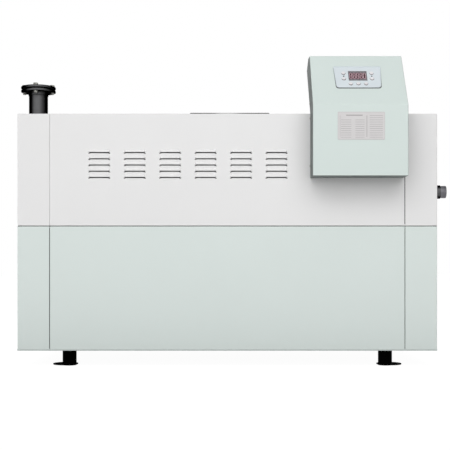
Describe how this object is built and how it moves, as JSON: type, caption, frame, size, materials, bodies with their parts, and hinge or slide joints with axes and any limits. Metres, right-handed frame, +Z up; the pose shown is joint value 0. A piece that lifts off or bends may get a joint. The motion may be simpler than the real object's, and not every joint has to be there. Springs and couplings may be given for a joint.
{
  "type": "industrial boiler",
  "caption": "Long floor-standing gas boiler in a two-storey sheet-metal casing with louvres, a leaning control box, a flanged water outlet, a side gas inlet and short legs.",
  "frame": {"origin": "centre of the boiler's bounding box, on the floor under the foot pads", "axes": "+X to the boiler's right along its length, +Y to its back, +Z up"},
  "size_m": [2.63, 1.5435, 1.8676],
  "materials": {
    "casing_light": "satin powder coat, light grey-white",
    "casing_mint": "satin powder coat, pale mint grey",
    "box_mint": "satin powder coat, pale mint grey",
    "frame_steel": "dark primer on square bar",
    "black_steel": "semi-gloss black paint",
    "galvanised": "zinc coated, satin",
    "stainless": "brushed stainless sheet",
    "black_rubber": "matt black rubber",
    "gasket_fibre": "grey fibre sheet",
    "fascia_blue_grey": "printed membrane, satin",
    "display_dark": "smoked acrylic",
    "button_grey": "soft moulded keys",
    "label_pale": "bare pale plate"
  },
  "bodies": {
    "root": {"upper_front_panel": "casing_light", "upper_rear_panel": "casing_light", "upper_left_cap": "casing_light", "upper_right_cap": "casing_light", "top_panel": "casing_light", "lower_front_panel": "casing_mint", "lower_rear_panel": "casing_mint", "lower_left_cap": "casing_mint", "lower_right_cap": "casing_mint", "control_box_body": "box_mint", "control_box_cover": "box_mint", "base_beams": "frame_steel", "base_cross_beams": "frame_steel", "lower_posts": "frame_steel", "mid_long_rails": "frame_steel", "mid_end_rails": "frame_steel", "upper_posts": "frame_steel", "top_long_rails": "frame_steel", "top_cross_rails": "frame_steel", "floor_pan": "frame_steel", "supply_pipe": "black_steel", "supply_flange": "black_steel", "counter_flange": "black_steel", "return_pipe": "black_steel", "return_flange": "black_steel", "gas_socket": "black_steel", "leg_front_left": "black_steel", "leg_front_right": "black_steel", "leg_rear_left": "black_steel", "leg_rear_right": "black_steel", "foot_plates": "black_steel", "gas_nipple": "galvanised", "flue_base": "stainless", "flue_socket": "stainless", "foot_pads": "black_rubber", "pipe_grommets": "black_rubber", "supply_gasket": "gasket_fibre", "display_fascia": "fascia_blue_grey", "display_window": "display_dark", "display_buttons": "button_grey", "label_plate": "label_pale"}
  },
  "joints": []
}
